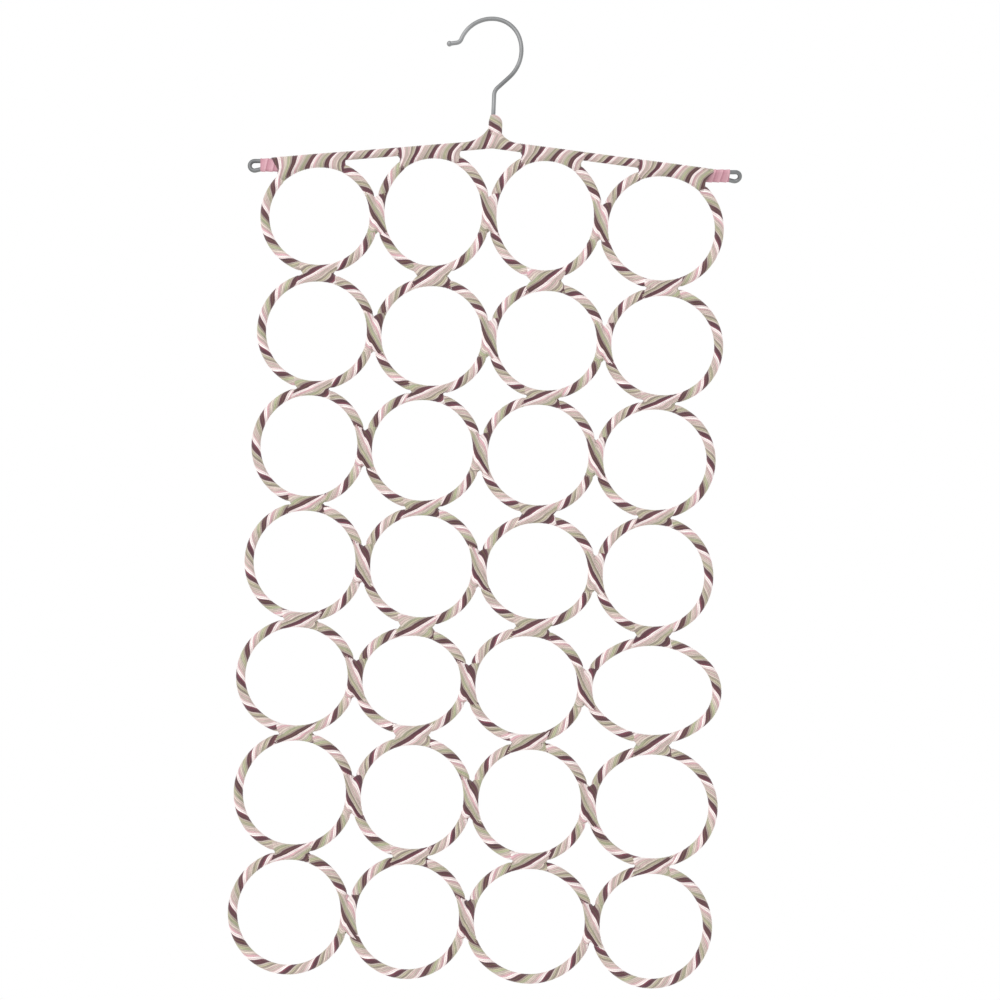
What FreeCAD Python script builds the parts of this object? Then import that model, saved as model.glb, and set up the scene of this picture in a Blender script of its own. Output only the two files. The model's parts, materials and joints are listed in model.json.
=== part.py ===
"""Scarf hanger: a wire bar and hook that carry seven rows of four yarn-wound rings.

Millimetres. X runs along the bar, Y points to the back and Z points up. The origin is the place
where the crown of the hook rests on a rail.
"""
import FreeCAD
import Part
import math
import os

# Rings: a plastic hoop wound with yarn
row_count = 7
column_count = 4
hoop_wire = 3.5             # thickness of a hoop
hoop_radius = 41.5          # middle of the hoop's wire on a round ring
hoop_spacing = 0.5          # left between two hoops that are bound together
first_row_slack = 1.6       # more room than that between the first two rows
yarn_build = 1.6            # thickness of the yarn wound on hoops and wires
yarn_fit = 0.15             # left between the yarn and what it is wound on
winding_gap = 0.3           # left between windings that end side by side

# Rings that are pulled out of round
tall_ring_narrowing = 0.9   # off the half width of the two rings that the bar's peak draws up
squat_row = 5
squat_row_loss = 1.7        # off the half height of that row's rings
# by row and column: off the half height as well, onto the half width, and off the half width
squat_rings = {(4, 3): 2.2, (5, 2): 3.0, (5, 4): 3.4}
wide_rings = {(1, 4): 2.6, (2, 4): 0.9, (3, 4): 0.9, (5, 4): 6.7, (6, 4): 3.7, (7, 3): 2.8}
slim_rings = {(3, 1): 1.7, (5, 2): 1.5}

# How the rows hang
# by row: its middle, to the right of the stem
row_sways = {2: 3.8, 3: 0.7, 4: 3.4, 5: -1.4, 6: 4.3, 7: 4.6}
# by column: how much higher its ring of the first row ends
first_row_lifts = {2: 3.0, 3: 3.0, 4: -1.0}

# Bindings: yarn wound round two neighbours at once
side_binding_length = 29.0
fold_binding_length = 25.0
bar_binding_length = 46.0
binding_lip = 2.5           # how far the yarn runs on round each neighbour alone
web_share = 0.97            # thickness of the yarn between neighbours, as a share of the tube's

# Hook and bar, formed from two lengths of wire
frame_wire = 3.2
stem_x = 2.9                # the stem stands to the right of the middle of the crown
bar_drop = 96.5             # crown of the hook to the peak of the bar
first_row_height = 102.3    # peak of the bar to the lowest point of the first row's hoops
left_droop = 7.1            # degrees that each arm falls away from the peak
right_droop = 5.2
left_end_lift = 4.8         # degrees that the end of each arm turns up again
right_end_lift = 7.5
end_bend_radius = 12.0
left_reach = 180.0          # stem to the middle of the eye at the end of each arm, along X
right_reach = 186.5
eye_bore = 4.2
tail_lean = 14.0            # degrees that the wire folded back from an eye leans in to its arm
tail_spacing = 0.4          # left between the end of that wire and the arm
tail_cover = 2.0            # tape that runs on past its end
right_eye_twist = 42.0      # degrees that the right eye is turned out of the plane of the rings
stem_bend_radius = 14.0     # where the stem turns into the left arm
post_bend_radius = 7.0      # where the right arm turns up beside the stem
post_spacing = 0.6          # left between the stem and that post
post_top_drop = 78.5        # crown to the top of the post
neck_top_drop = 74.0        # crown to the top of the yarn round the neck
neck_top_radius = 2.3
neck_bridge = 0.8           # yarn that closes the underside of the neck, as a share of the tube's

# Bow of the hook, from the stem to the lip
offset_bend_radius = 8.0
offset_bend_angle = 45.0
back_radius = 29.3
crown_radius = 21.9
crown_start = 22.0          # degrees past upright where the back passes into the crown
front_radius = 25.4
front_end = 161.0           # degrees past upright where the front passes into the lip
lip_radius = 4.5
lip_angle = 61.0
lip_length = 5.5
tip_diameter = 4.2

# Tape wound on each end of the bar
tape_thickness = 0.5
tape_start = 5.2            # middle of the eye to the edge of the tape

# Values that follow from those above
hoop_pitch = hoop_wire + hoop_spacing
ring_tube = hoop_wire / 2 + yarn_build
hoop_channel = hoop_wire / 2 + yarn_fit
wire_radius = frame_wire / 2
bar_tube = wire_radius + yarn_build
wire_channel = wire_radius + yarn_fit
bar_to_hoop = (frame_wire + hoop_wire) / 2 + hoop_spacing
eye_radius = (eye_bore + frame_wire) / 2
tail_pitch = frame_wire + tail_spacing
post_x = stem_x + frame_wire + post_spacing
peak = -bar_drop
front = FreeCAD.Vector(0, -1, 0)   # a turn about it carries +X towards +Z
quarter_turn = 90.0
quarter_ends = (45.0, 135.0, 225.0, 315.0)


def at(x, z):
    """A point in the plane of the rings."""
    return FreeCAD.Vector(x, 0, z)


def heading(angle):
    """The direction at an angle from +X towards +Z."""
    return at(math.cos(math.radians(angle)), math.sin(math.radians(angle)))


def angle_of(direction):
    return math.degrees(math.atan2(direction.z, direction.x))


def on_circle(centre, radius, angle):
    return centre + heading(angle) * radius


def section(point, direction, outer, inner):
    """A disc square to a direction, with a hole where there is an inner radius."""
    disc = Part.Face(Part.Wire(Part.makeCircle(outer, point, direction)))
    if not inner:
        return disc
    return disc.cut(Part.Face(Part.Wire(Part.makeCircle(inner, point, direction)))).Faces[0]


def straight_tube(start, end, outer, inner=0.0):
    run = end - start
    return section(start, run, outer, inner).extrude(run)


def bent_tube(centre, radius, start, end, outer, inner=0.0):
    """A tube along an arc from one angle to another."""
    face = section(on_circle(centre, radius, start), heading(start + 90), outer, inner)
    return face.revolve(centre, front, end - start)


def joined(solids):
    """One solid from pieces that meet face to face or overlap."""
    if len(solids) == 1:
        return solids[0]
    return solids[0].multiFuse(solids[1:]).removeSplitter().Solids[0]


def arc_edge(centre, radius, start, end):
    points = [on_circle(centre, radius, angle) for angle in (start, (start + end) / 2, end)]
    return Part.Arc(*points).toShape()


def line_edge(start, end):
    return Part.LineSegment(start, end).toShape()


def web(edges, half):
    """The yarn between two tubes: a plate inside the closed outline of their middles."""
    outline = Part.Wire(edges)
    plate = Part.Face(outline).extrude(front * (2 * half))
    plate.translate(front * -half)
    return plate


def side_of(angle):
    """The quarter turn nearest to an angle, from 0 to 270 degrees."""
    return round(angle / quarter_turn) % 4 * quarter_turn


class Ring:
    """A hoop: an oval of four arcs that meet tangentially, each a quarter turn."""

    def __init__(self, x, z, half_width, half_height):
        self.middle = at(x, z)
        self.half_width = half_width
        self.half_height = half_height
        stretch = math.sqrt(0.5) * (half_width - half_height)
        self.flat_radius = half_width + stretch
        self.side_radius = half_height - stretch
        self.bound = []

    def arc(self, angle):
        """Middle and radius of the arc that faces an angle."""
        side = side_of(angle)
        if side in (0.0, 2 * quarter_turn):
            reach = self.half_width - self.side_radius
            return self.middle + heading(side) * reach, self.side_radius
        reach = self.half_height - self.flat_radius
        return self.middle + heading(side) * reach, self.flat_radius

    def spans(self, start, end):
        """Cuts a range of angles where one arc passes into the next."""
        cuts = [turn + mark for turn in (-360, 0, 360) for mark in quarter_ends]
        if self.half_width == self.half_height:
            cuts = []
        marks = [start] + sorted(cut for cut in cuts if start < cut < end) + [end]
        return list(zip(marks, marks[1:]))

    def tube(self, start, end, outer, inner=0.0):
        pieces = []
        for low, high in self.spans(start, end):
            centre, radius = self.arc((low + high) / 2)
            pieces.append(bent_tube(centre, radius, low, high, outer, inner))
        return joined(pieces)

    def edges(self, start, end):
        found = []
        for low, high in self.spans(start, end):
            centre, radius = self.arc((low + high) / 2)
            found.append(arc_edge(centre, radius, low, high))
        return found

    def point(self, angle):
        centre, radius = self.arc(angle)
        return on_circle(centre, radius, angle)

    def turn(self, angle, length):
        """The angle that a length of hoop covers."""
        return math.degrees(length / self.arc(angle)[1])

    def bind(self, angle, length):
        """Keeps a place where the hoop is bound, and gives the ends of its web and of its yarn."""
        web_half = self.turn(angle, length / 2)
        yarn_half = self.turn(angle, length / 2 + binding_lip)
        self.bound.append((angle, yarn_half + self.turn(angle, winding_gap)))
        return web_half, yarn_half

    def hoop(self):
        return self.tube(quarter_ends[0], quarter_ends[0] + 360, hoop_wire / 2)

    def wraps(self):
        """The yarn between the bindings. On a side with no binding two windings meet."""
        ends = [(angle % 360, half) for angle, half in self.bound]
        bound_sides = [side_of(angle) for angle, half in ends]
        free_sides = [side_of(end + quarter_turn / 2) for end in quarter_ends]
        for side in free_sides:
            if side not in bound_sides:
                ends.append((side, self.turn(side, winding_gap / 2)))
        ordered = sorted(ends)
        following = ordered[1:] + [(ordered[0][0] + 360, ordered[0][1])]
        return [
            self.tube(angle + half, after - after_half, ring_tube, hoop_channel)
            for (angle, half), (after, after_half) in zip(ordered, following)
        ]


def arm_height(x):
    """Middle of the bar's wire above a place along X."""
    droop = left_droop if x < stem_x else right_droop
    return peak - abs(x - stem_x) * math.tan(math.radians(droop))


def arm_slope(x):
    return left_droop if x < stem_x else -right_droop


def half_width(row, column):
    place = (row, column)
    width = hoop_radius + wide_rings.get(place, 0.0) - slim_rings.get(place, 0.0)
    drawn_up = row == 1 and 1 < column < column_count
    return width - (tall_ring_narrowing if drawn_up else 0.0)


def half_height(row, column):
    """For the rows below the first, whose rings hang free of the bar."""
    height = hoop_radius - (squat_row_loss if row == squat_row else 0.0)
    return height - squat_rings.get((row, column), 0.0)


def column_places(row):
    """X of a row's rings, which stand side by side about the middle of the row."""
    widths = [half_width(row, column) for column in range(1, column_count + 1)]
    middle = column_count // 2
    places = [0.0] * column_count
    row_middle = stem_x + row_sways.get(row, 0.0)
    places[middle] = row_middle + hoop_pitch / 2 + widths[middle]
    places[middle - 1] = row_middle - hoop_pitch / 2 - widths[middle - 1]
    for column in range(middle + 1, column_count):
        places[column] = places[column - 1] + widths[column - 1] + hoop_pitch + widths[column]
    for column in range(middle - 2, -1, -1):
        places[column] = places[column + 1] - widths[column + 1] - hoop_pitch - widths[column]
    return places


def first_row_half_height(x, width, low):
    """Half the height of a ring that ends at a given height and touches the bar."""
    slope = math.cos(math.radians(arm_slope(x)))
    room = arm_height(x) - low
    stretch = math.sqrt(0.5)
    spare = slope * room - bar_to_hoop - (1 - slope) * width * (1 + stretch)
    return spare / (2 * slope - (1 - slope) * stretch)


def make_rings():
    """All rings by row and column, with the heights of the lines on which the rows fold."""
    rings = {}
    folds = []
    floor = peak - first_row_height
    for column, x in enumerate(column_places(1), start=1):
        width = half_width(1, column)
        low = floor + first_row_lifts.get(column, 0.0)
        height = first_row_half_height(x, width, low)
        rings[1, column] = Ring(x, low + height, width, height)
    for row in range(2, row_count + 1):
        gap = hoop_pitch + (first_row_slack if row == 2 else 0.0)
        folds.append(floor - gap / 2)
        tallest = max(half_height(row, column) for column in range(1, column_count + 1))
        middle = floor - gap - tallest
        for column, x in enumerate(column_places(row), start=1):
            rings[row, column] = Ring(x, middle, half_width(row, column), half_height(row, column))
        floor = middle - tallest
    return rings, folds


def bound_pair(ring, side, other, length):
    """Yarn wound round two hoops where a side of one faces the other."""
    centre = ring.arc(side)[0]
    facing = other.arc(side + 180)[0]
    away = facing - centre
    angle = angle_of(away)
    back = angle + 180
    web_half, yarn_half = ring.bind(angle, length)
    back_web_half, back_yarn_half = other.bind(back, length)
    outline = ring.edges(angle - web_half, angle + web_half)
    outline.append(line_edge(ring.point(angle + web_half), other.point(back - back_web_half)))
    outline += other.edges(back - back_web_half, back + back_web_half)
    outline.append(line_edge(other.point(back + back_web_half), ring.point(angle - web_half)))
    yarn = joined([
        ring.tube(angle - yarn_half, angle + yarn_half, ring_tube),
        other.tube(back - back_yarn_half, back + back_yarn_half, ring_tube),
        web(outline, ring_tube * web_share),
    ])
    hoops = [
        ring.tube(angle - yarn_half, angle + yarn_half, hoop_channel),
        other.tube(back - back_yarn_half, back + back_yarn_half, hoop_channel),
    ]
    return yarn.cut(hoops).Solids[0]


def bound_to_bar(ring):
    """Yarn wound round a ring of the first row and the bar. Gives the yarn and its ends along X."""
    slope = arm_slope(ring.middle.x)
    angle = 90 + slope
    along = heading(slope)
    touch = ring.point(angle) + heading(angle) * bar_to_hoop
    web_half, yarn_half = ring.bind(angle, bar_binding_length)
    web_start = touch - along * (bar_binding_length / 2)
    web_end = touch + along * (bar_binding_length / 2)
    yarn_start = web_start - along * binding_lip
    yarn_end = web_end + along * binding_lip
    outline = ring.edges(angle - web_half, angle + web_half)
    outline.append(line_edge(ring.point(angle + web_half), web_start))
    outline.append(line_edge(web_start, web_end))
    outline.append(line_edge(web_end, ring.point(angle - web_half)))
    yarn = joined([
        ring.tube(angle - yarn_half, angle + yarn_half, ring_tube),
        straight_tube(yarn_start, yarn_end, bar_tube),
        web(outline, ring_tube * web_share),
    ])
    cores = [
        ring.tube(angle - yarn_half, angle + yarn_half, hoop_channel),
        straight_tube(yarn_start, yarn_end, wire_channel),
    ]
    return yarn.cut(cores).Solids[0], yarn_start.x, yarn_end.x


class Corner:
    """A bend of the frame's wire between an upright and an arm."""

    def __init__(self, x, outward, radius):
        droop = left_droop if outward < 0 else right_droop
        self.radius = radius
        self.outward = outward
        self.along = at(outward * math.cos(math.radians(droop)), -math.sin(math.radians(droop)))
        self.turn = 90 - droop
        self.point = at(x, arm_height(x))
        reach = radius * math.tan(math.radians(self.turn / 2))
        self.arm_end = self.point + self.along * reach
        self.upright_end = self.point + at(0, reach)
        self.centre = self.upright_end + at(outward * radius, 0)
        self.start = 180.0 if outward > 0 else 0.0
        self.end = self.start + outward * self.turn

    def tube(self, outer):
        low, high = sorted((self.start, self.end))
        return bent_tube(self.centre, self.radius, low, high, outer)

    def edge(self):
        return arc_edge(self.centre, self.radius, self.start, self.end)


class End:
    """The end of an arm: it turns up past the last yarn, and tape holds the eye's tail against it."""

    def __init__(self, corner, yarn_end):
        self.outward = corner.outward
        self.arm_start = corner.arm_end
        reach = right_reach if self.outward > 0 else left_reach
        lift = right_end_lift if self.outward > 0 else left_end_lift
        self.twist = right_eye_twist if self.outward > 0 else 0.0
        bend_x = yarn_end + winding_gap * self.outward
        self.bend_start = at(bend_x, arm_height(bend_x))
        self.bend_centre = self.bend_start + self.above(corner.along) * end_bend_radius
        self.bend_from = angle_of(self.bend_start - self.bend_centre)
        self.bend_to = self.bend_from + lift * self.outward
        self.run_start = on_circle(self.bend_centre, end_bend_radius, self.bend_to)
        self.along = heading(self.bend_to + quarter_turn * self.outward)
        self.up = self.above(self.along)
        self.tape_end = (reach - abs(self.run_start.x - stem_x)) / abs(self.along.x)
        self.arm_end = self.run_start + self.along * self.tape_end
        self.eye = self.arm_end - self.up * eye_radius
        across = math.sin(math.radians(tail_lean))
        ahead = math.cos(math.radians(tail_lean))
        self.tail_start = self.eye - (self.up * ahead + self.along * across) * eye_radius
        self.tail_run = self.up * across - self.along * ahead
        self.tail_length = (eye_radius * (1 + ahead) - tail_pitch) / across

    def above(self, along):
        return at(-along.z, along.x) * self.outward

    def twisted(self, shape):
        shape.rotate(self.arm_end, self.along, self.twist)
        return shape

    def wire(self):
        """The arm from the corner outwards, the eye and the tail."""
        bend = sorted((self.bend_from, self.bend_to))
        rise = angle_of(self.up)
        low, high = sorted((rise, rise - (180 + tail_lean) * self.outward))
        eye = bent_tube(self.eye, eye_radius, low, high, wire_radius)
        tail = straight_tube(self.tail_start, self.tail_start + self.tail_run * self.tail_length, wire_radius)
        return [
            straight_tube(self.arm_start, self.bend_start, wire_radius),
            bent_tube(self.bend_centre, end_bend_radius, *bend, wire_radius),
            straight_tube(self.run_start, self.arm_end, wire_radius),
            self.twisted(eye),
            self.twisted(tail),
        ]

    def sleeve(self, radius):
        """A wedge with rounded edges round the arm and the tail."""
        arm = [self.arm_end - self.along * reach for reach in (tape_start, self.tape_end)]
        reaches = (tape_start, self.tail_length + tail_cover)
        tail = [self.tail_start + self.tail_run * reach for reach in reaches]
        tubes = [straight_tube(*run, radius) for run in (arm, tail)]
        corners = arm + tail[::-1]
        edges = [line_edge(a, b) for a, b in zip(corners, corners[1:] + corners[:1])]
        return joined(tubes + [web(edges, radius * web_share)])

    def tape(self):
        outside = self.sleeve(wire_radius + tape_thickness)
        return self.twisted(outside.cut(self.sleeve(wire_channel)).Solids[0])


def hook_bow(foot):
    """The wire above the stem's foot: stem, offset bend, back, crown, front and lip."""
    bend = math.radians(offset_bend_angle)
    start = math.radians(crown_start)
    lead = (
        crown_radius * math.cos(start) - stem_x
        - back_radius * (math.cos(start) - math.cos(bend))
        - offset_bend_radius * (1 - math.cos(bend))
    ) / math.sin(bend)
    rise = (
        offset_bend_radius * math.sin(bend)
        + lead * math.cos(bend)
        + back_radius * (math.sin(bend) + math.sin(start))
        + crown_radius * (1 - math.sin(start))
    )
    stem_top = at(stem_x, wire_radius - rise)
    slope = 90 - offset_bend_angle
    solids = [straight_tube(foot, stem_top, wire_radius)]

    centre = stem_top + at(offset_bend_radius, 0)
    solids.append(bent_tube(centre, offset_bend_radius, 180 - offset_bend_angle, 180, wire_radius))
    lead_start = on_circle(centre, offset_bend_radius, 180 - offset_bend_angle)
    lead_end = lead_start + heading(slope) * lead
    solids.append(straight_tube(lead_start, lead_end, wire_radius))

    place = lead_end
    angle = -offset_bend_angle
    for radius, stop in ((back_radius, crown_start), (crown_radius, 90.0), (front_radius, front_end)):
        centre = place - heading(angle) * radius
        solids.append(bent_tube(centre, radius, angle, stop, wire_radius))
        place = on_circle(centre, radius, stop)
        angle = stop

    centre = place + heading(angle) * lip_radius
    facing = angle + 180
    solids.append(bent_tube(centre, lip_radius, facing - lip_angle, facing, wire_radius))
    lip_start = on_circle(centre, lip_radius, facing - lip_angle)
    tip = lip_start + heading(facing - lip_angle - 90) * lip_length
    solids.append(straight_tube(lip_start, tip, wire_radius))
    solids.append(Part.makeSphere(tip_diameter / 2, tip))
    return solids


def neck(stem, post):
    """Yarn wound round the stem and the post, and round the bends into both arms."""
    top = at(stem_x, -neck_top_drop)
    shoulder = at(stem_x, -post_top_drop)
    post_top = at(post_x, -post_top_drop)
    outline = [
        line_edge(shoulder, post_top),
        line_edge(post_top, post.upright_end),
        post.edge(),
        line_edge(post.arm_end, stem.arm_end),
        stem.edge(),
        line_edge(stem.upright_end, shoulder),
    ]
    yarn = joined([
        straight_tube(stem.upright_end, shoulder, bar_tube),
        straight_tube(post.upright_end, post_top, bar_tube),
        stem.tube(bar_tube),
        post.tube(bar_tube),
        Part.makeSphere(bar_tube, post_top),
        Part.makeCone(bar_tube, neck_top_radius, (top - shoulder).Length, shoulder),
        straight_tube(stem.arm_end, post.arm_end, bar_tube * neck_bridge),
        web(outline, bar_tube * web_share),
    ])
    past = stem.along * frame_wire
    wires = joined([
        straight_tube(stem.upright_end, top + at(0, frame_wire), wire_channel),
        stem.tube(wire_channel),
        straight_tube(stem.arm_end, stem.arm_end + past, wire_channel),
    ])
    right_wires = joined([
        straight_tube(post.upright_end, post_top, wire_channel),
        post.tube(wire_channel),
        straight_tube(post.arm_end, post.arm_end + post.along * frame_wire, wire_channel),
        Part.makeSphere(wire_channel, post_top),
    ])
    return yarn.cut([wires, right_wires]).Solids[0]


def bar_stretches(ends):
    """Yarn on the free stretches of the bar, between pairs of places along X."""
    solids = []
    for start, end in ends:
        run = heading(arm_slope(start))
        first = at(start, arm_height(start)) + run * winding_gap
        last = at(end, arm_height(end)) - run * winding_gap
        solids.append(straight_tube(first, last, bar_tube, wire_channel))
    return solids


def save(name, solids):
    Part.makeCompound(solids).exportStep(f"parts/{name}.step")


os.makedirs("parts", exist_ok=True)
rings, fold_heights = make_rings()
columns = range(1, column_count + 1)

bindings = [bound_to_bar(rings[1, column]) for column in columns]
save("bar_bindings", [binding[0] for binding in bindings])
yarn_ends = [x for binding in bindings for x in binding[1:]]

stem = Corner(stem_x, -1, stem_bend_radius)
post = Corner(post_x, 1, post_bend_radius)
left_end = End(stem, yarn_ends[0])
right_end = End(post, yarn_ends[-1])

hook_wire = hook_bow(stem.upright_end) + [stem.tube(wire_radius)] + left_end.wire()
save("hook_wire", [joined(hook_wire)])

right_arm = [
    straight_tube(post.upright_end, at(post_x, -post_top_drop), wire_radius),
    Part.makeSphere(wire_radius, at(post_x, -post_top_drop)),
    post.tube(wire_radius),
]
save("right_arm_wire", [joined(right_arm + right_end.wire())])

save("neck_wrap", [neck(stem, post)])
save("left_end_tape", [left_end.tape()])
save("right_end_tape", [right_end.tape()])
inner_ends = sorted(yarn_ends[1:-1] + [stem.arm_end.x, post.arm_end.x])
save("bar_wrap", bar_stretches(zip(inner_ends[::2], inner_ends[1::2])))

for row in range(1, row_count + 1):
    pairs = [(rings[row, column], rings[row, column + 1]) for column in columns[:-1]]
    save(f"row_{row}_side_bindings", [bound_pair(a, 0, b, side_binding_length) for a, b in pairs])
for row in range(1, row_count):
    pairs = [(rings[row, column], rings[row + 1, column]) for column in columns]
    name = f"row_{row}_to_{row + 1}_bindings"
    save(name, [bound_pair(a, 270, b, fold_binding_length) for a, b in pairs])
for row in range(1, row_count + 1):
    save(f"row_{row}_hoops", [rings[row, column].hoop() for column in columns])
    for column in columns:
        save(f"ring_wrap_r{row}c{column}", rings[row, column].wraps())
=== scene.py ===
"""Looks of the scarf hanger: yarn wound in coloured strands on rings and bar, bright wire, ribbon ends.

Metres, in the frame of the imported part: X along the bar, Y to the back, Z up.
"""

import json
import math

import bpy
import numpy as np
from mathutils import Matrix, Vector


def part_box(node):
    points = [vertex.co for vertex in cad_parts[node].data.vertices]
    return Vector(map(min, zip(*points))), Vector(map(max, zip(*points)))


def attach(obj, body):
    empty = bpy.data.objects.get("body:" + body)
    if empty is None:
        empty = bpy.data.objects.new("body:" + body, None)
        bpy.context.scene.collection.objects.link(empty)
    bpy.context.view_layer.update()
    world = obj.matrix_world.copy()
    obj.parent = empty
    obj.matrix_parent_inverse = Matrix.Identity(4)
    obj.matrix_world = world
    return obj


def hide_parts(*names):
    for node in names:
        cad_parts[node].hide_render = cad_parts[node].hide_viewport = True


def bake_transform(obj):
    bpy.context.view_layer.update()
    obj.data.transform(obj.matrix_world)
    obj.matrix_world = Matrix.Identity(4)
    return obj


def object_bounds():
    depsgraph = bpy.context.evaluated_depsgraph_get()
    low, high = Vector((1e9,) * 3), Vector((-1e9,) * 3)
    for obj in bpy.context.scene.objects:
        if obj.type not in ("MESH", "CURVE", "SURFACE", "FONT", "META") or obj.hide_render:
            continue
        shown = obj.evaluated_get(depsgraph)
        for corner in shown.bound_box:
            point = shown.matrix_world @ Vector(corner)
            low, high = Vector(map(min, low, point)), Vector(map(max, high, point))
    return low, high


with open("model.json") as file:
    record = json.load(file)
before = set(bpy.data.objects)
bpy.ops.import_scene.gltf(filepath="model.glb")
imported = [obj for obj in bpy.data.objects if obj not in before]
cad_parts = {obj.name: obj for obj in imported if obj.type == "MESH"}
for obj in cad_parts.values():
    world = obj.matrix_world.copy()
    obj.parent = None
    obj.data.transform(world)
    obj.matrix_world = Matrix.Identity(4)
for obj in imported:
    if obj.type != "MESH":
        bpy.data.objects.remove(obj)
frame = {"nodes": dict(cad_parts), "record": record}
cad_low, cad_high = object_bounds()

# Yarn
STRANDS = 12                # strands that lie side by side in the yarn's band
ACROSS = 3                  # mesh faces across a strand
RING_PITCH = 0.0225         # length of ring that one turn of the band covers
BAR_PITCH = 0.0152
NECK_PITCH = 0.0150
PAIR_PITCH = 0.060
PAIR_BANDS = 2              # two bands, one from each ring, wind a binding together
CREST = 0.00010             # crest of a strand above the solid it covers
GROOVE = 0.00042            # depth of the groove between two strands
STEPS_PER_TURN = 15         # mesh steps along one turn
FINE_STEPS = 30             # the same on the neck and the ribbons, which have few turns
MARK_STEP = 0.5             # degrees between the marks by which a ring's length is measured

# Bindings
SIDE_LENGTH = 0.038
FOLD_LENGTH = 0.035
BAR_HALF = 0.0270           # half the length of a binding on the bar
BAR_OUTER_HALF = 0.0340     # towards an end of the bar
BINDING_CREST = 0.00025
END_TAPER = 0.0024          # length over which the end of a binding sinks into the rings' yarn
END_SINK = 0.0012
TAPER_STEPS = (0.3, 0.55, 0.8, 1.0)     # shares of END_TAPER at which the mesh has a step
LEAST_STEPS = 10            # mesh steps along a binding between its tapered ends
COVERED_SINK = 0.0008       # the yarn under a binding is pressed in by this
COVERED_EASE = 0.0040
PAIR_CROTCH = (0.36, 0.8)   # share by which the yarn between two cores draws in at a binding's ends, and the
BAR_CROTCH = (0.13, 1.4)    # power that shapes it: a notch below 1, a hollow above 1
NO_CROTCH = (0.0, 1.0)
PAIR_SLANT = 0.0012         # the front of a binding leans this far along the lay of its yarn
BAR_SLANT = 0.0012
FOLD_PHASE = 0.25           # share of a turn by which the colours of a winding are shifted
BAR_PHASE = 0.36
NECK_PHASE = 0.58
RING_DRIFT = 0.25           # the most by which one ring's colours are shifted against another's
PAIR_DRIFT = 0.10
DRIFT_PER_ROW = 7           # radians of a wave that spreads these shifts over the lattice
DRIFT_PER_COLUMN = 5
MERGED = 1e-6               # cores closer than this are one
PARTED = 4e-6               # the least distance of cores that part further along
NUDGE = 1e-5                # step along a core that shows which way it runs

# Neck: the stem and the wire beside it, and the yarn heaped on the bar at their foot
STEM_X = 0.0029
POST_X = 0.0067
NECK_FOOT = 0.0042          # the upright winding ends this far above the bar
NECK_SINK = 0.0012          # and sinks into the yarn heaped there
NECK_TAPER = 0.0026
NECK_SHOULDER = 0.0065      # length over which the neck's yarn widens from the stem
NECK_TOP_RADIUS = 0.0022
HEAP_LEFT = 0.024           # radius of each flank of the heap
HEAP_RIGHT = 0.017
HEAP_HEIGHT = 0.0092        # the most that it rises above the bar's middle line

# Ends of the bar, -1 for the left one and 1 for the right one
BAR_SOLID_LENGTH = 0.0516   # length of the bar's last binding in the part
END_LIFTS = {-1: math.radians(4.8), 1: math.radians(7.5)}      # turn of an end up from its arm
END_BEND = 0.012            # radius of that turn
REACHES = {-1: 0.180, 1: 0.1865}                # from the stem to the middle of an eye
EYE_TWISTS = {-1: 0.0, 1: math.radians(42.0)}   # turn of an eye about its arm
RIBBON_START = 0.0046       # from the middle of the eye
RIBBON_RADIUS = 0.0022
RIBBON_GAP = 0.0062         # from the arm to the ribbon's other edge
RIBBON_PITCH = 0.0056
RIBBON_STEP = 0.00045       # each turn of ribbon lies on the turn before
RIBBON_COLUMNS = 48

OPENING_SHARE = 0.69        # share of a ring's free half width that its opening box takes

# Photograph: a camera that looks at a point of the rings' plane
VIEW_TARGET = (0.0198, 0.0, -0.3680)
VIEW_DISTANCE = 1.0
VIEW_AZIMUTH = -0.33
VIEW_ELEVATION = -3.60
VIEW_ROLL = 2.30
VIEW_ZOOM = 1.3329          # image widths per unit of slope
SENSOR = 36.0

# Studio
FLOOR_DROP = 0.40           # floor below the lowest ring
FLOOR_SIZE = 2.2            # ends below the photograph's lower edge
AMBIENT = 0.95              # strength of the white light from all round
KEY_POWER = 17.0
KEY_SIZE = 2.6
KEY_PLACE = (-0.9, -1.6, 0.5)
KEY_AIM = (0.0, 0.0, -0.35)
WHITE = (1.0, 1.0, 1.0, 1.0)

rows = range(1, 1 + sum(name.endswith("_hoops") for name in frame["nodes"]))
columns = range(1, 1 + sum(name.startswith("ring_wrap_r1c") for name in frame["nodes"]))
openings = {entry["name"]: entry["box_m"] for entry in frame["record"]["physics"]["openings"]}
QUARTER = math.pi / 2
DEPTH = np.array([0.0, 1.0, 0.0])
UP = np.array([0.0, 0.0, 1.0])
ring_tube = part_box("ring_wrap_r3c1")[1].y       # radius over the yarn, the same on every ring
bar_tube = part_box("bar_wrap")[1].y


def srgb(red, green, blue):
    """A colour given as 0 to 255 in sRGB, as linear RGBA."""
    values = []
    for value in (red, green, blue):
        share = value / 255
        values.append(share / 12.92 if share <= 0.04045 else ((share + 0.055) / 1.055) ** 2.4)
    return (*values, 1.0)


PLUM = srgb(94, 54, 64)
WINE = srgb(128, 66, 82)
UMBER = srgb(104, 74, 66)
CREAM = srgb(253, 243, 240)
BLUSH = srgb(248, 230, 228)
MAUVE = srgb(208, 181, 178)
ROSE = srgb(220, 174, 181)
SAND = srgb(224, 209, 196)
STONE = srgb(200, 187, 175)
TAUPE = srgb(158, 143, 132)
OLIVE = srgb(187, 180, 152)
LIME = srgb(182, 187, 150)

# The ribbon's colour in painted shade under the next turn, and in painted light on its raised edge
RIBBON_PAINTED_SHADED, RIBBON_PAINTED_LIT = srgb(178, 118, 134), srgb(222, 176, 186)
WIRE_DARK, WIRE_PALE = srgb(112, 113, 114), srgb(160, 161, 162)
PLASTIC_DARK, PLASTIC_PALE = srgb(228, 222, 210), srgb(240, 236, 228)
FLOOR_DARK, FLOOR_PALE = srgb(244, 244, 242), srgb(250, 250, 248)

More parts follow.
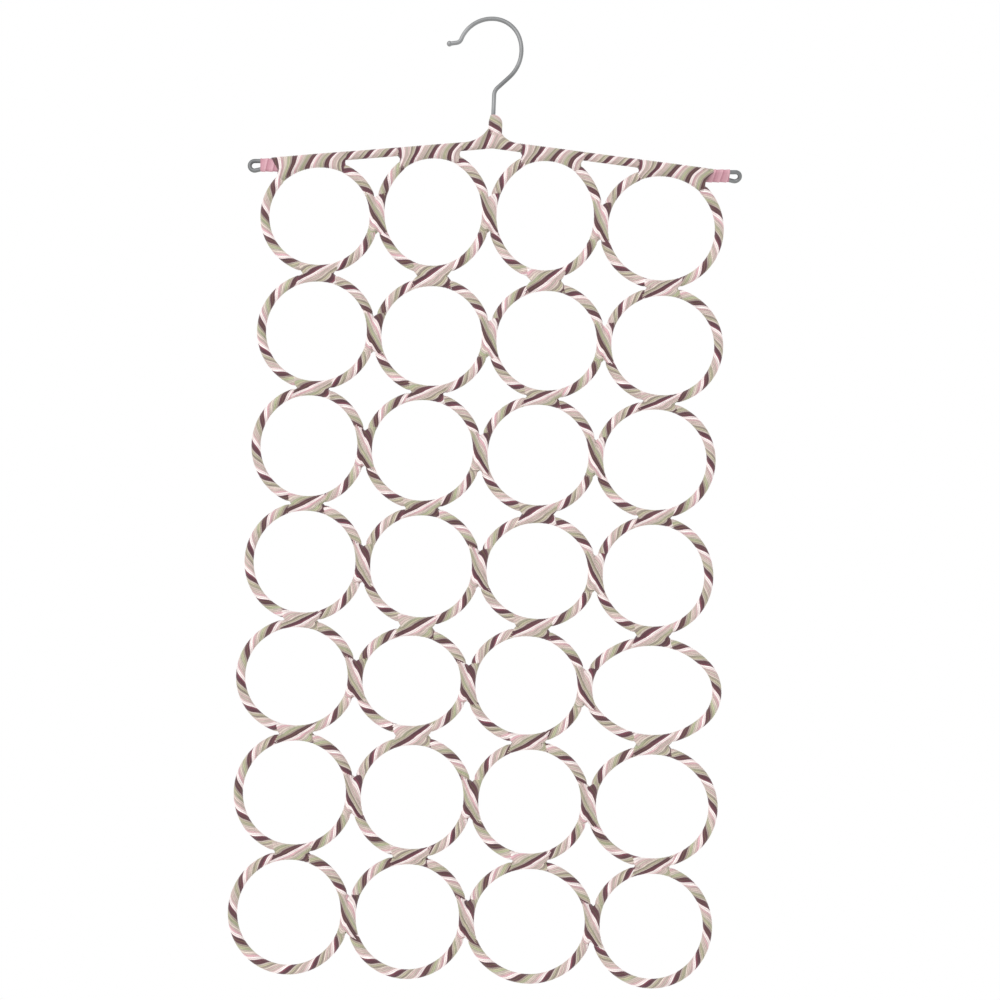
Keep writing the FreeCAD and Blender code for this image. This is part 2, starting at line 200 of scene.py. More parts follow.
# The band's strands, in order round the winding, for two lots of yarn that pass into each other
BAND_A = [PLUM, PLUM, WINE, CREAM, BLUSH, MAUVE, STONE, MAUVE, SAND, TAUPE, OLIVE, STONE]
BAND_B = [PLUM, UMBER, PLUM, BLUSH, CREAM, ROSE, MAUVE, SAND, STONE, LIME, OLIVE, TAUPE]

# Looks of the yarn. Scales are per metre, and a shade is a range of factors on the colour.
LOT_SCALE = 22.0            # patches of either lot of yarn
LOT_EDGE = (0.42, 0.58)     # noise between which one lot passes into the other
FIBRES_ACROSS = 5.0         # fibres across a strand
FIBRE_SCALE = 420.0
FIBRE_SHADE = (0.82, 1.14)
DYE_ACROSS = 3.7            # sets the dye of each strand apart from its neighbours'
DYE_SCALE = 70.0
DYE_SHADE = (0.74, 1.24)
# Painted shade: each strand's colour darkens towards its edges, in the groove between strands
PAINTED_SHADE_SPAN = (0.0, 0.16)  # shares of a strand's width from its edge, over which painted shade darkens the groove between strands
PAINTED_GROOVE_SHADE = (0.60, 1.0)
PLY_ACROSS = 0.35           # turns of a strand's plies
PLY_SCALE = 260.0
PLY_DISTORTION = 1.2
YARN_BUMP = (0.35, 0.0003)  # strength and height
YARN_ROUGHNESS = 0.85
YARN_SHEEN = (0.25, 0.6)    # weight and roughness

# Looks of ribbon, wire, plastic and floor
RIB_SCALE = 620.0
RIB_ACROSS = 3.0
RIB_DISTORTION = 0.6
MOTTLE_ACROSS = 9.0
MOTTLE_SCALE = 500.0
MOTTLE_SHADE = (0.86, 1.12)
PAINTED_OVERLAP_SHADE = (0.15, 0.85)         # painted shade at the covered edge of a turn, passing to painted light at the raised one
RIBBON_BUMP = (0.3, 0.0002)
RIBBON_ROUGHNESS = 0.7
RIBBON_SHEEN = 0.3
MARK_SCALE = 900.0          # drawing marks of the wire
PLATING_SCALE = 26.0
WIRE_ROUGHNESS = (0.30, 0.44)
WIRE_BUMP = (0.08, 0.0001)
GRAIN_SCALE = 1400.0
CLOUD_SCALE = 40.0
PLASTIC_ROUGHNESS = (0.45, 0.6)
PLASTIC_BUMP = (0.1, 0.0001)
FLOOR_CLOUD_SCALE = 3.0
FLOOR_ROUGHNESS = 0.9

# Ranges of noise that are spread over a whole range of looks
WHOLE = (0.0, 1.0)
WIDE_NOISE = (0.2, 0.8)
MIDDLE_NOISE = (0.25, 0.75)
NARROW_NOISE = (0.3, 0.7)
CLOSE_NOISE = (0.35, 0.65)


# Middle lines of rings and bar


def heading(angles):
    """Directions at angles from +X towards +Z."""
    angles = np.asarray(angles, float)
    return np.stack([np.cos(angles), 0 * angles, np.sin(angles)], -1)


def ease(share):
    """From 0 to 1 with a soft start and end."""
    share = np.clip(share, 0, 1)
    return share * share * (3 - 2 * share)


class Ring:
    """A hoop's middle line: an oval of four arcs, as the part has it."""

    def __init__(self, row, column):
        low, high = np.array(openings[f"ring_r{row}c{column}"])
        self.middle = (low + high) / 2
        free = (high - low) / 2 / OPENING_SHARE
        self.wide = free[0] + ring_tube
        self.tall = free[2] + ring_tube
        stretch = math.sqrt(0.5) * (self.wide - self.tall)
        self.flat_radius = self.wide + stretch
        self.side_radius = self.tall - stretch
        self.covered = []
        self.marks = np.radians(np.arange(0, 360 + MARK_STEP, MARK_STEP))
        steps = np.diff(self.points(self.marks), axis=0)
        self.travelled = np.append(0, np.cumsum(np.linalg.norm(steps, axis=1)))
        self.length = self.travelled[-1]

    def arcs(self, angles):
        """Middles and radii of the arcs that face some angles, in radians."""
        quarter = np.round(np.asarray(angles) / QUARTER)
        flat = quarter % 2 == 1
        radius = np.where(flat, self.flat_radius, self.side_radius)
        reach = np.where(flat, self.tall, self.wide) - radius
        return self.middle + reach[..., None] * heading(quarter * QUARTER), radius

    def points(self, angles):
        centres, radius = self.arcs(angles)
        return centres + radius[..., None] * heading(angles)

    def place(self, angle):
        """The distance round the hoop at an angle."""
        return np.interp(angle % (4 * QUARTER), self.marks, self.travelled)

    def at(self, distance):
        return self.points(np.interp(distance % self.length, self.travelled, self.marks))


class Arm:
    """The middle line of one arm of the bar."""

    def __init__(self, outward):
        points = np.array([vert.co for vert in frame["nodes"]["bar_wrap"].data.vertices])
        points = points[(points[:, 0] - STEM_X) * outward > 0]
        self.slope, self.height = np.polyfit(points[:, 0], points[:, 2], 1)
        self.angle = math.atan(self.slope)
        self.along = heading(self.angle)
        self.up = heading(self.angle + QUARTER)

    def points(self, x):
        x = np.asarray(x, float)
        return np.stack([x, 0 * x, self.height + self.slope * x], -1)

    def touch(self, ring):
        """The place on the arm that a ring of the first row touches."""
        top = ring.points(self.angle + QUARTER)
        foot = self.points(top[0])
        return foot + self.along * ((top - foot) @ self.along)


rings = {(row, column): Ring(row, column) for row in rows for column in columns}
arms = {-1: Arm(-1), 1: Arm(1)}
peak_height = arms[-1].points(STEM_X)[2]


def bar_points(x):
    x = np.asarray(x, float)
    return np.where((x < STEM_X)[..., None], arms[-1].points(x), arms[1].points(x))


def arm_of(ring):
    return arms[1 if ring.middle[0] > STEM_X else -1]


# Windings


def strand_lifts(bands):
    """Height of the yarn's surface round a winding, for each column of its mesh."""
    share = np.arange(ACROSS) / ACROSS
    return np.tile(GROOVE * (np.sqrt(1 - (2 * share - 1) ** 2) - 1), STRANDS * bands)


def wind(name, first, second, radius, stations, pitch, lifts, bands=1, closed=False, crotch=NO_CROTCH,
         slant=0.0, depth=DEPTH, phase=0.0):
    """A mesh wound round one core or two.

    first, second and radius give the cores' middles and the yarn's outside for distances along them.
    U runs from 0 to 1 across each band and V runs along. crotch draws the ends in between the cores, slant
    shears the winding along its lay and phase shifts its colours by a share of a turn.
    """
    count = len(lifts)
    along = np.repeat(stations[:, None], count, 1)
    across = second(along) - first(along)
    step = first(stations[1:2])[0] - first(stations[:1])[0]
    lean = across[0, 0] if np.linalg.norm(across[0, 0]) > MERGED else np.cross(step, depth)
    hand = 1.0 if np.cross(lean, step) @ depth > 0 else -1.0
    turn = (phase + np.arange(count)[None, :] / count + hand * (along - stations[0]) / pitch) % 1.0

    half = np.linalg.norm(across, axis=-1) / 2
    size = radius(along)
    ahead, back, _, _ = round_section(turn, half, size)
    share = ahead / (half + size)
    middle = (stations[0] + stations[-1]) / 2
    most_drawn, power = crotch
    drawn = most_drawn * (1 - np.abs(share) ** power)
    placed = middle + (along - middle) * (1 - drawn) - hand * slant * share * back / size

    cores = first(placed), second(placed)
    across = cores[1] - cores[0]
    half = np.linalg.norm(across, axis=-1) / 2
    tangent = first(placed + NUDGE) - first(placed - NUDGE)
    across = np.where((half < MERGED)[..., None], np.cross(tangent, depth), across)
    across = across / np.linalg.norm(across, axis=-1)[..., None]
    ahead, back, out_ahead, out_back = round_section(turn, half, size)
    ahead = ahead + out_ahead * lifts
    back = back + out_back * lifts
    points = (cores[0] + cores[1]) / 2 + ahead[..., None] * across + back[..., None] * depth
    edges = None if closed else (np.argmin(ahead[0]), np.argmin(ahead[-1]))
    return grid_mesh(name, points, stations, bands, edges, hand)


def round_section(turn, half, radius):
    """Place and outward direction on a flat-sided oval round two cores, at shares of the way round it."""
    straight, bend = 2 * half, math.pi * radius
    way = turn * 2 * (straight + bend)
    far = way >= straight + bend
    way = np.where(far, way - straight - bend, way)
    swing = np.clip((way - straight) / radius, 0, math.pi)
    flat = way < straight
    ahead = np.where(flat, way - half, half + radius * np.sin(swing))
    back = np.where(flat, -radius, -radius * np.cos(swing))
    out_ahead = np.where(flat, 0, np.sin(swing))
    out_back = np.where(flat, -1, -np.cos(swing))
    sign = np.where(far, -1.0, 1.0)
    return sign * ahead, sign * back, sign * out_ahead, sign * out_back


def grid_mesh(name, points, stations, bands, edges, hand):
    """A tube of quads through rows of points.

    edges gives the columns at which the first and last rows fold flat, to close the tube's ends. Without them
    the tube runs in a ring.
    """
    row_total, count = points.shape[:2]
    steps = row_total - 1 if edges else row_total
    i, j = np.meshgrid(np.arange(steps), np.arange(count), indexing="ij")
    after, beside = (i + 1) % row_total, (j + 1) % count
    corners = [i * count + j, i * count + beside, after * count + beside, after * count + j]
    ends = np.append(stations, 2 * stations[-1] - stations[-2])
    u = [j, j + 1, j + 1, j]
    v = [ends[i], ends[i], ends[i + 1], ends[i + 1]]
    order = slice(None, None, -1) if hand > 0 else slice(None)
    faces = np.stack(corners, -1).reshape(-1, 4)[:, order]
    u = np.stack(u, -1).reshape(-1, 4)[:, order] * bands / count
    v = np.stack(v, -1).reshape(-1, 4)[:, order]
    polygons = faces.tolist()
    uv = np.stack([u, v], -1).reshape(-1, 2).tolist()
    if edges:
        half = count // 2
        for station, edge, backward in ((0, edges[0], hand < 0), (row_total - 1, edges[1], hand > 0)):
            for step in range(half):
                # A strip from one half of the rim to the other, with a triangle at either end
                near, far = (edge + step, step), (edge - step, step)
                next_near, next_far = (edge + step + 1, step + 1), (edge - step - 1, step + 1)
                face = [near, next_near, next_far, far]
                if step == 0:
                    face.remove(far)
                elif step == half - 1:
                    face.remove(next_far)
                face = face[::-1] if backward else face
                polygons.append([int(station * count + column % count) for column, _ in face])
                uv += [[(edge + place) * bands / count, stations[station]] for _, place in face]

    mesh = bpy.data.meshes.new(name)
    mesh.from_pydata(points.reshape(-1, 3).tolist(), [], polygons)
    layer = mesh.uv_layers.new(name="strands")
    layer.data.foreach_set("uv", np.array(uv, np.float32).ravel())
    mesh.polygons.foreach_set("use_smooth", np.ones(len(mesh.polygons), bool))
    mesh.update()
    piece = bpy.data.objects.new(name, mesh)
    bpy.context.scene.collection.objects.link(piece)
    return piece


def own_drift(row, column):
    """A value from -1 to 1 that differs from one place of the lattice to the next."""
    return math.sin(DRIFT_PER_ROW * row + DRIFT_PER_COLUMN * column)


def pressed_in(gap, half):
    """How far yarn is pressed in at some distance from the middle of a binding that covers it."""
    return COVERED_SINK * ease((half - END_TAPER - gap) / COVERED_EASE)


def wind_ring(name, ring, phase):
    """The yarn that runs all the way round one hoop."""
    turns = round(ring.length / RING_PITCH)
    stations = np.linspace(0, ring.length, turns * STEPS_PER_TURN, endpoint=False)

    def size(distance):
        radius = np.full_like(distance, ring_tube + CREST)
        for place, half in ring.covered:
            gap = (distance - place + ring.length / 2) % ring.length - ring.length / 2
            radius -= pressed_in(np.abs(gap), half)
        return radius

    return wind(name, ring.at, ring.at, size, stations, ring.length / turns, strand_lifts(1), closed=True,
                phase=phase)


def binding_stations(start, end, pitch):
    """Distances along a binding, closer together where its ends sink in."""
    steps = max(LEAST_STEPS, round((end - start) / pitch * STEPS_PER_TURN))
    inner = np.linspace(start + END_TAPER, end - END_TAPER, steps)
    sunk = END_TAPER * np.array(TAPER_STEPS)
    return np.concatenate([inner[0] - sunk[::-1], inner, inner[-1] + sunk])


def binding_size(start, end, radius):
    """The yarn's outside along a binding, which sinks into the rings' own yarn at the ends."""
    def size(distance):
        left = np.minimum(distance - start, end - distance)
        return radius + BINDING_CREST - END_SINK * np.clip(1 - left / END_TAPER, 0, 1) ** 2
    return size


def wind_pair(name, ring, side, other, length, phase):
    """Yarn round two hoops where a side of one faces the other."""
    centre, radius = ring.arcs(side)
    facing, other_radius = other.arcs(side + math.pi)
    away = facing - centre
    angle = math.atan2(away[2], away[0])
    ring.covered.append((ring.place(angle), length / 2))
    other.covered.append((other.place(angle + math.pi), length / 2))

    def first(distance):
        return ring.points(angle + distance / radius)

    def second(distance):
        return other.points(angle + math.pi - distance / other_radius)

    size = binding_size(-length / 2, length / 2, ring_tube)
    stations = binding_stations(-length / 2, length / 2, PAIR_PITCH)
    return wind(name, first, second, size, stations, PAIR_PITCH, strand_lifts(PAIR_BANDS), bands=PAIR_BANDS,
                crotch=PAIR_CROTCH, slant=PAIR_SLANT, phase=phase)


def wind_to_bar(name, ring, start, end):
    """Yarn round the bar and a ring of the first row, between two distances from where they touch."""
    arm = arm_of(ring)
    angle = arm.angle + QUARTER
    radius = ring.arcs(angle)[1]
    touch = arm.touch(ring)
    ring.covered.append((ring.place(angle) - (start + end) / 2, (end - start) / 2))

    def first(distance):
        return touch + np.asarray(distance)[..., None] * arm.along

    def second(distance):
        return ring.points(angle - distance / radius)

    size = binding_size(start, end, bar_tube)
    stations = binding_stations(start, end, BAR_PITCH)
    return wind(name, first, second, size, stations, BAR_PITCH, strand_lifts(1),
                crotch=BAR_CROTCH, slant=BAR_SLANT)


def heap_height(x):
    """How far the yarn at the foot of the neck is heaped above the bar's middle line."""
    height = np.full_like(x, HEAP_HEIGHT)
    for foot, outward, radius in ((STEM_X, -1, HEAP_LEFT), (POST_X, 1, HEAP_RIGHT)):
        away = (x - foot) * outward
        turn = QUARTER + outward * arms[outward].angle
        rise = radius * math.tan(turn / 2)
        arc = rise - np.sqrt(np.clip(radius ** 2 - (radius - away) ** 2, 0, None))
        arc = arc + away * abs(arms[outward].slope)
        reach = rise * arms[outward].along[0]
        flank = np.where(away < reach, arc, 0.0)
        height = np.where(away > 0, np.minimum(height, flank), height)
    return np.maximum(height, PARTED)


def wind_bar(name, start, end):
    """The yarn along the whole bar, heaped up where the stem rises from it."""
    count = round((end - start) / BAR_PITCH * STEPS_PER_TURN)
    stations = np.linspace(start, end, count)
    covers = [arm_of(rings[1, column]).touch(rings[1, column])[0] for column in columns]

    def first(x):
        return bar_points(x) + heap_height(x)[..., None] * UP

    def size(x):
        radius = np.full_like(x, bar_tube + CREST)
        for place in covers:
            radius -= pressed_in(np.abs(x - place), BAR_HALF)
        return radius

    return wind(name, first, bar_points, size, stations, BAR_PITCH, strand_lifts(1), phase=BAR_PHASE)


def wind_neck(name):
    """The upright winding round the stem and the wire beside it."""
    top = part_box("neck_wrap")[1].z
    length = top - peak_height - NECK_FOOT
    stations = np.linspace(0, length, round(length / NECK_PITCH * FINE_STEPS))

    def second(distance):
        return np.stack([STEM_X + 0 * distance, 0 * distance, top - distance], -1)

    def first(distance):
        share = np.clip(distance / NECK_SHOULDER, 0, 1)
        apart = (POST_X - STEM_X) * np.sqrt(1 - (1 - share) ** 2)
        return second(distance) + np.maximum(apart, PARTED)[..., None] * heading(0.0)

    def size(distance):
        shoulder = np.sin(np.clip(distance / NECK_SHOULDER, 0, 1) * QUARTER)
        sunk = NECK_SINK * ease((distance - length) / NECK_TAPER + 1)
        return NECK_TOP_RADIUS + (bar_tube + BINDING_CREST - NECK_TOP_RADIUS) * shoulder - sunk

    return wind(name, first, second, size, stations, NECK_PITCH, strand_lifts(1), phase=NECK_PHASE)


class EndRun:
    """The end of an arm, which turns up past the last yarn, and the ribbon's line beside it."""

    def __init__(self, outward):
        arm = arms[outward]
        ring = rings[1, columns[0] if outward < 0 else columns[-1]]
        bend_start = arm.touch(ring) + arm.along * (outward * BAR_SOLID_LENGTH / 2)
        angle = arm.angle + outward * END_LIFTS[outward]
        up = heading(angle + QUARTER)
        self.out = outward * heading(angle)
        self.start = bend_start + (arm.up - up) * END_BEND
        self.length = (REACHES[outward] - abs(self.start[0] - STEM_X)) / abs(self.out[0])
        self.eye = self.start + self.out * self.length
        twist = EYE_TWISTS[outward] * outward
        self.down = -math.cos(twist) * up + math.sin(twist) * DEPTH
        self.depth = math.cos(twist) * DEPTH + math.sin(twist) * up

    def arm(self, distance):
        """The arm's middle line by the distance from the eye."""
        return self.eye - np.asarray(distance)[..., None] * self.out

    def edge(self, distance):
        return self.arm(distance) + RIBBON_GAP * self.down


def wind_ribbon(name, run):
    """Ribbon wound round the arm and the tail of its eye, each turn half over the one before."""
    stations = np.linspace(RIBBON_START, run.length, round(run.length / RIBBON_PITCH * FINE_STEPS))
    lifts = RIBBON_STEP * (np.arange(RIBBON_COLUMNS) / RIBBON_COLUMNS - 1)

    def size(distance):
        return np.full_like(distance, RIBBON_RADIUS)

    return wind(name, run.arm, run.edge, size, stations, RIBBON_PITCH, lifts, depth=run.depth)


# Materials


def new_material(name):
    material = bpy.data.materials.new(name)
    material.use_nodes = True
    nodes = material.node_tree.nodes
    shader = nodes["Principled BSDF"]
    return material, nodes, material.node_tree.links, shader


def band_ramp(nodes, colours):
    ramp = nodes.new("ShaderNodeValToRGB")
    ramp.color_ramp.interpolation = "CONSTANT"
    stops = ramp.color_ramp.elements
    stops[0].position, stops[0].color = 0.0, colours[0]
    stops[1].position, stops[1].color = 1 / len(colours), colours[1]
    for index, colour in list(enumerate(colours))[2:]:
        stops.new(index / len(colours)).color = colour
    return ramp


def math_node(nodes, links, operation, first, second):
    node = nodes.new("ShaderNodeMath")
    node.operation = operation
    for socket, value in zip(node.inputs, (first, second)):
        if isinstance(value, (int, float)):
            socket.default_value = value
        else:
            links.new(value, socket)
    return node.outputs[0]


def noise_node(nodes, links, coordinate, scale=1.0, detail=2.0):
    noise = nodes.new("ShaderNodeTexNoise")
    noise.inputs["Scale"].default_value = scale
    noise.inputs["Detail"].default_value = detail
    links.new(coordinate, noise.inputs["Vector"])
    return noise.outputs["Fac"]


def range_node(nodes, links, value, span, result):
    """Spreads a span of values over a range of results."""
    node = nodes.new("ShaderNodeMapRange")
    node.inputs["From Min"].default_value, node.inputs["From Max"].default_value = span
    node.inputs["To Min"].default_value, node.inputs["To Max"].default_value = result
    links.new(value, node.inputs["Value"])
    return node.outputs[0]


def mix_node(nodes, links, factor, first, second, blend="MIX"):
    node = nodes.new("ShaderNodeMix")
    node.data_type = "RGBA"
    node.blend_type = blend
    sockets = node.inputs["Factor"], node.inputs["A"], node.inputs["B"]
    for socket, value in zip(sockets, (factor, first, second)):
        if isinstance(value, (float, tuple)):
            socket.default_value = value
        else:
            links.new(value, socket)
    return node.outputs["Result"]


def strand_coordinates(nodes, links):
    uv = nodes.new("ShaderNodeUVMap")
    uv.uv_map = "strands"
    split = nodes.new("ShaderNodeSeparateXYZ")
    links.new(uv.outputs[0], split.inputs[0])
    return split.outputs["X"], split.outputs["Y"]


def stretched(nodes, links, u, v, u_scale, v_scale):
    place = nodes.new("ShaderNodeCombineXYZ")
    links.new(math_node(nodes, links, "MULTIPLY", u, u_scale), place.inputs[0])
    links.new(math_node(nodes, links, "MULTIPLY", v, v_scale), place.inputs[1])
    return place.outputs[0]


def add_bump(nodes, links, shader, height, bump_size):
    bump = nodes.new("ShaderNodeBump")
    bump.inputs["Strength"].default_value, bump.inputs["Distance"].default_value = bump_size
    links.new(height, bump.inputs["Height"])
    links.new(bump.outputs[0], shader.inputs["Normal"])


def yarn_material():
    """Strands in the band's colours, with fibres along each strand and painted shade in the groove between
    strands.
    """
    material, nodes, links, shader = new_material("wound_yarn")
    u, v = strand_coordinates(nodes, links)
    share = math_node(nodes, links, "FRACT", u, 0.0)
    ramps = [band_ramp(nodes, band) for band in (BAND_A, BAND_B)]
    for ramp in ramps:
        links.new(share, ramp.inputs[0])

    place = nodes.new("ShaderNodeTexCoord")
    drift = noise_node(nodes, links, place.outputs["Object"], LOT_SCALE, detail=1.0)
    lot = range_node(nodes, links, drift, LOT_EDGE, WHOLE)
    dye = mix_node(nodes, links, lot, ramps[0].outputs[0], ramps[1].outputs[0])

    fibre_place = stretched(nodes, links, u, v, STRANDS * FIBRES_ACROSS, FIBRE_SCALE)
    fibre = noise_node(nodes, links, fibre_place, detail=3.0)
    across = math_node(nodes, links, "MULTIPLY", u, float(STRANDS))
    strand = math_node(nodes, links, "FLOOR", across, 0.0)
    uneven = noise_node(nodes, links, stretched(nodes, links, strand, v, DYE_ACROSS, DYE_SCALE))
    # Painted shade: the colour darkens towards each strand's edges, in the groove between strands
    edge = math_node(nodes, links, "PINGPONG", across, 0.5)
    painted_groove_shade = range_node(nodes, links, edge, PAINTED_SHADE_SPAN, PAINTED_GROOVE_SHADE)
    shade = range_node(nodes, links, fibre, WIDE_NOISE, FIBRE_SHADE)
    tint = range_node(nodes, links, uneven, MIDDLE_NOISE, DYE_SHADE)
    level = math_node(nodes, links, "MULTIPLY", painted_groove_shade, math_node(nodes, links, "MULTIPLY", shade, tint))
    colour = mix_node(nodes, links, 1.0, dye, level, "MULTIPLY")
    links.new(colour, shader.inputs["Base Color"])

    ply = nodes.new("ShaderNodeTexWave")
    ply.inputs["Scale"].default_value = 1.0
    ply.inputs["Distortion"].default_value = PLY_DISTORTION
    twist = math_node(nodes, links, "ADD", math_node(nodes, links, "MULTIPLY", across, PLY_ACROSS),
                      math_node(nodes, links, "MULTIPLY", v, PLY_SCALE))
    lay = nodes.new("ShaderNodeCombineXYZ")
    links.new(twist, lay.inputs[0])
    links.new(lay.outputs[0], ply.inputs["Vector"])
    add_bump(nodes, links, shader, math_node(nodes, links, "ADD", ply.outputs["Fac"], fibre), YARN_BUMP)
    shader.inputs["Roughness"].default_value = YARN_ROUGHNESS
    shader.inputs["Sheen Weight"].default_value, shader.inputs["Sheen Roughness"].default_value = YARN_SHEEN
    return material


def ribbon_material():
    """Soft woven ribbon: fine ribs across it, with painted shade at the edge of each turn that the next
    covers and painted light on its raised edge.
    """
    material, nodes, links, shader = new_material("end_tape")
    u, v = strand_coordinates(nodes, links)
    ribs = nodes.new("ShaderNodeTexWave")
    ribs.inputs["Scale"].default_value = 1.0
    ribs.inputs["Distortion"].default_value = RIB_DISTORTION
    ribs.inputs["Detail"].default_value = 1.0
    links.new(stretched(nodes, links, v, u, RIB_SCALE, RIB_ACROSS), ribs.inputs["Vector"])
    mottle_place = stretched(nodes, links, u, v, MOTTLE_ACROSS, MOTTLE_SCALE)
    mottle = noise_node(nodes, links, mottle_place, detail=3.0)
    # Painted shade towards the edge of each turn that the next turn covers, painted light towards its raised
    # edge
    painted_overlap_shade = range_node(nodes, links, u, WHOLE, PAINTED_OVERLAP_SHADE)
    tone = mix_node(nodes, links, painted_overlap_shade, RIBBON_PAINTED_SHADED, RIBBON_PAINTED_LIT)
    shade = range_node(nodes, links, mottle, MIDDLE_NOISE, MOTTLE_SHADE)
    links.new(mix_node(nodes, links, 1.0, tone, shade, "MULTIPLY"), shader.inputs["Base Color"])
    add_bump(nodes, links, shader, math_node(nodes, links, "ADD", ribs.outputs["Fac"], mottle), RIBBON_BUMP)
    shader.inputs["Roughness"].default_value = RIBBON_ROUGHNESS
    shader.inputs["Sheen Weight"].default_value = RIBBON_SHEEN
    return material


def wire_material():
    """Bright plated wire with fine drawing marks and a slightly uneven plating."""
    material, nodes, links, shader = new_material("bright_wire")
    place = nodes.new("ShaderNodeTexCoord")
    marks = noise_node(nodes, links, place.outputs["Object"], MARK_SCALE)
    cloud = noise_node(nodes, links, place.outputs["Object"], PLATING_SCALE)
    links.new(range_node(nodes, links, marks, NARROW_NOISE, WIRE_ROUGHNESS), shader.inputs["Roughness"])
    tone = mix_node(nodes, links, range_node(nodes, links, cloud, CLOSE_NOISE, WHOLE), WIRE_DARK, WIRE_PALE)
    links.new(tone, shader.inputs["Base Color"])
    add_bump(nodes, links, shader, marks, WIRE_BUMP)
    shader.inputs["Metallic"].default_value = 1.0
    return material


def plastic_material():
    """Matt moulded plastic with a fine grain."""
    material, nodes, links, shader = new_material("hoop_plastic")
    place = nodes.new("ShaderNodeTexCoord")
    grain = noise_node(nodes, links, place.outputs["Object"], GRAIN_SCALE)
    cloud = noise_node(nodes, links, place.outputs["Object"], CLOUD_SCALE)
    tone = mix_node(nodes, links, cloud, PLASTIC_DARK, PLASTIC_PALE)
    links.new(tone, shader.inputs["Base Color"])
    links.new(range_node(nodes, links, grain, NARROW_NOISE, PLASTIC_ROUGHNESS), shader.inputs["Roughness"])
    add_bump(nodes, links, shader, grain, PLASTIC_BUMP)
    return material


def floor_material():
    """Matt pale floor, a little uneven, that the hanger's shadow falls on."""
    material, nodes, links, shader = new_material("floor")
    place = nodes.new("ShaderNodeTexCoord")
    cloud = noise_node(nodes, links, place.outputs["Object"], FLOOR_CLOUD_SCALE)
    tone = mix_node(nodes, links, cloud, FLOOR_DARK, FLOOR_PALE)
    links.new(tone, shader.inputs["Base Color"])
    shader.inputs["Roughness"].default_value = FLOOR_ROUGHNESS
    return material


yarn = yarn_material()
ribbon = ribbon_material()
bare_nodes = {"hook_wire": wire_material()}
bare_nodes["right_arm_wire"] = bare_nodes["hook_wire"]
plastic = plastic_material()
bare_nodes.update({f"row_{row}_hoops": plastic for row in rows})
for name, material in bare_nodes.items():
    slots = frame["nodes"][name].data.materials
    slots.clear()
    slots.append(material)


# Pieces


def dress(piece, slot, material, *replaced):
    piece.data.materials.append(material)
    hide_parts(*replaced)
    return piece


def body_of_row(row):
    return "frame" if row == 1 else f"row_{row}"


for row in rows:
    for column in columns[:-1]:
        name = f"side_binding_r{row}c{column}"
        phase = PAIR_DRIFT * own_drift(row, column)
        piece = wind_pair(name, rings[row, column + 1], math.pi, rings[row, column], SIDE_LENGTH, phase)
        dress(piece, "wound_yarn", yarn, f"row_{row}_side_bindings")
        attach(piece, body_of_row(row))

for row in rows[:-1]:
    for column in columns:
        upper, lower = rings[row, column], rings[row + 1, column]
        name = f"fold_binding_r{row}c{column}"
        phase = FOLD_PHASE + PAIR_DRIFT * own_drift(column, row)
        piece = wind_pair(name, upper, 3 * QUARTER, lower, FOLD_LENGTH, phase)
        dress(piece, "wound_yarn", yarn, f"row_{row}_to_{row + 1}_bindings")
        start = upper.points(3 * QUARTER)
        end = lower.points(QUARTER)
        body_of_row(row)
        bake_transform(piece)

for column in columns:
    start = -BAR_OUTER_HALF if column == columns[0] else -BAR_HALF
    end = BAR_OUTER_HALF if column == columns[-1] else BAR_HALF
    piece = wind_to_bar(f"bar_binding_c{column}", rings[1, column], start, end)
    dress(piece, "wound_yarn", yarn, "bar_bindings")
    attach(piece, "frame")

for (row, column), ring in rings.items():
    piece = wind_ring(f"yarn_ring_r{row}c{column}", ring, RING_DRIFT * own_drift(row, column))
    dress(piece, "wound_yarn", yarn, f"ring_wrap_r{row}c{column}")
    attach(piece, body_of_row(row))

runs = {"left": EndRun(-1), "right": EndRun(1)}
for word, run in runs.items():
    piece = wind_ribbon(f"ribbon_{word}", run)
    dress(piece, "end_tape", ribbon, f"{word}_end_tape")
    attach(piece, "frame")

piece = wind_bar("bar_yarn", runs["left"].start[0], runs["right"].start[0])
dress(piece, "wound_yarn", yarn, "bar_wrap")
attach(piece, "frame")

piece = wind_neck("neck_yarn")
dress(piece, "wound_yarn", yarn, "neck_wrap")
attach(piece, "frame")


# Light, backdrop and camera


def add_light(name, energy, size, location, target):
    lamp = bpy.data.lights.new(name, "AREA")
    lamp.energy = energy
    lamp.size = size
    holder = bpy.data.objects.new(name, lamp)
    holder.location = location
    aim = Vector(target) - Vector(location)
    holder.rotation_euler = aim.to_track_quat("-Z", "Y").to_euler()
    bpy.context.scene.collection.objects.link(holder)


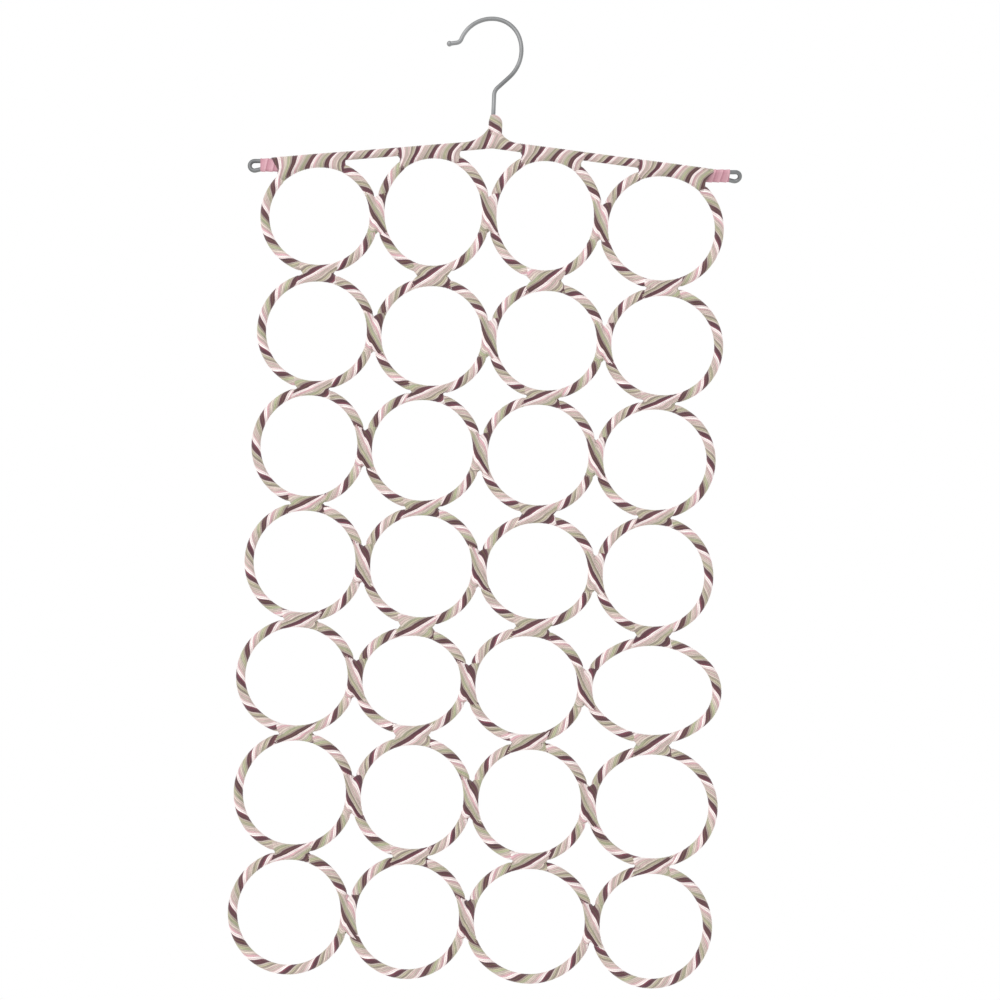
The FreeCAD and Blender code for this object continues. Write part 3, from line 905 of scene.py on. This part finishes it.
def to_background(nodes, links):
    """1 for rays that show the background: from the camera, off metal or through glass."""
    path = nodes.new("ShaderNodeLightPath")
    seen = math_node(nodes, links, "MAXIMUM", path.outputs["Is Camera Ray"], path.outputs["Is Glossy Ray"])
    return math_node(nodes, links, "MAXIMUM", seen, path.outputs["Is Transmission Ray"])


def make_world():
    world = bpy.data.worlds.new("studio")
    bpy.context.scene.world = world
    world.use_nodes = True
    nodes, links = world.node_tree.nodes, world.node_tree.links
    ambient = nodes["Background"]
    ambient.inputs["Color"].default_value = WHITE
    ambient.inputs["Strength"].default_value = AMBIENT
    white = nodes.new("ShaderNodeBackground")
    white.inputs["Color"].default_value = WHITE
    white.inputs["Strength"].default_value = 1.0
    mix = nodes.new("ShaderNodeMixShader")
    links.new(to_background(nodes, links), mix.inputs[0])
    links.new(ambient.outputs[0], mix.inputs[1])
    links.new(white.outputs[0], mix.inputs[2])
    links.new(mix.outputs[0], nodes["World Output"].inputs[0])


def make_floor():
    half, height = FLOOR_SIZE / 2, cad_low[2] - FLOOR_DROP
    corners = [(-half, -half, height), (half, -half, height), (half, half, height), (-half, half, height)]
    mesh = bpy.data.meshes.new("floor")
    mesh.from_pydata(corners, [], [(0, 1, 2, 3)])
    mesh.materials.append(floor_material())
    floor = bpy.data.objects.new("floor", mesh)
    bpy.context.scene.collection.objects.link(floor)


def make_camera():
    data = bpy.data.cameras.new("photo")
    camera = bpy.data.objects.new("photo", data)
    bpy.context.scene.collection.objects.link(camera)
    data.sensor_width = SENSOR
    data.lens = SENSOR * VIEW_ZOOM * VIEW_DISTANCE
    azimuth, elevation = math.radians(VIEW_AZIMUTH), math.radians(VIEW_ELEVATION)
    back = Vector((
        math.sin(azimuth) * math.cos(elevation),
        -math.cos(azimuth) * math.cos(elevation),
        math.sin(elevation),
    ))
    camera.location = Vector(VIEW_TARGET) + back * VIEW_DISTANCE
    facing = (-back).to_track_quat("-Z", "Y").to_matrix().to_4x4()
    roll = Matrix.Rotation(math.radians(VIEW_ROLL), 4, "Z")
    camera.rotation_euler = (facing @ roll).to_euler()
    bpy.context.scene.camera = camera


make_world()
make_floor()
add_light("key", KEY_POWER, KEY_SIZE, KEY_PLACE, KEY_AIM)
make_camera()
bpy.context.scene.view_settings.view_transform = "Standard"
